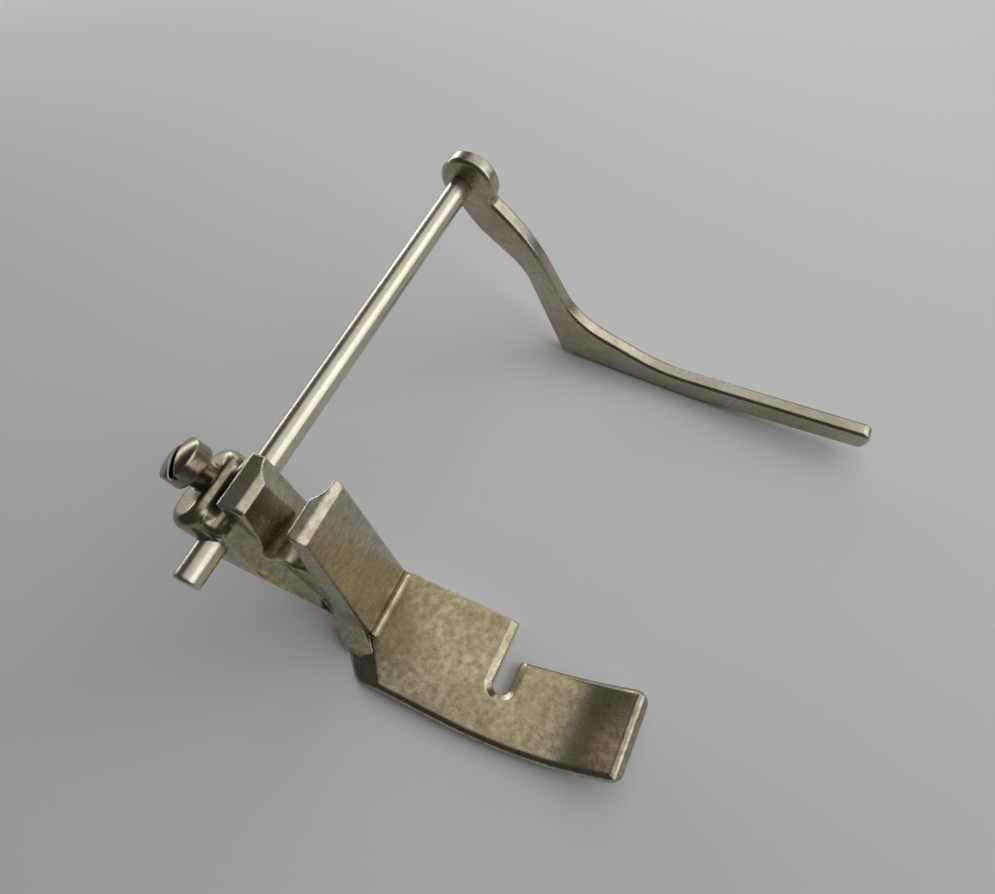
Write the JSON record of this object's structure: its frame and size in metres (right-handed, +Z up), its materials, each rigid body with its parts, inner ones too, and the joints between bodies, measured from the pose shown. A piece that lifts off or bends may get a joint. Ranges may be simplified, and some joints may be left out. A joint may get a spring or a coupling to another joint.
{
  "type": "sewing machine presser foot",
  "caption": "High shank presser foot with a forked clamp shank, a side needle notch, an upturned toe and an adjustable edge guide on a sliding rod.",
  "frame": {"origin": "on the underside of the sole, straight below the axis of the machine's presser bar", "axes": "+X to the operator's right, +Y to the back of the machine, +Z up along the presser bar"},
  "size_m": [0.0609, 0.0681, 0.0351],
  "materials": {
    "foot_nickel": "old polished nickel plate, yellowed and clouded, darker on the shank",
    "rod_nickel": "polished nickel plate drawn along the rod",
    "arm_nickel": "dulled nickel plate with bright worn edges",
    "screw_nickel": "polished nickel plate, dark in the slot"
  },
  "bodies": {
    "foot_body": {"foot": "foot_nickel"},
    "rod_body": {"guide_rod": "rod_nickel"},
    "arm_body": {"guide_arm": "arm_nickel"},
    "screw_body": {"clamp_screw": "screw_nickel"}
  },
  "joints": [
    {"name": "rod_slide", "type": "slide", "parent": "foot_body", "child": "rod_body", "axis": [1, 0, 0], "range_m": [-0.042, 0.0065]},
    {"name": "arm_swing", "type": "hinge", "parent": "rod_body", "child": "arm_body", "pos_m": [0.0462, 0.0072, 0.0272], "axis": [1, 0, 0], "continuous": true},
    {"name": "screw_turn", "type": "hinge", "parent": "foot_body", "child": "screw_body", "pos_m": [-0.0038, 0.0072, 0.0272], "axis": [0, 0.5446, 0.8387], "continuous": true}
  ]
}
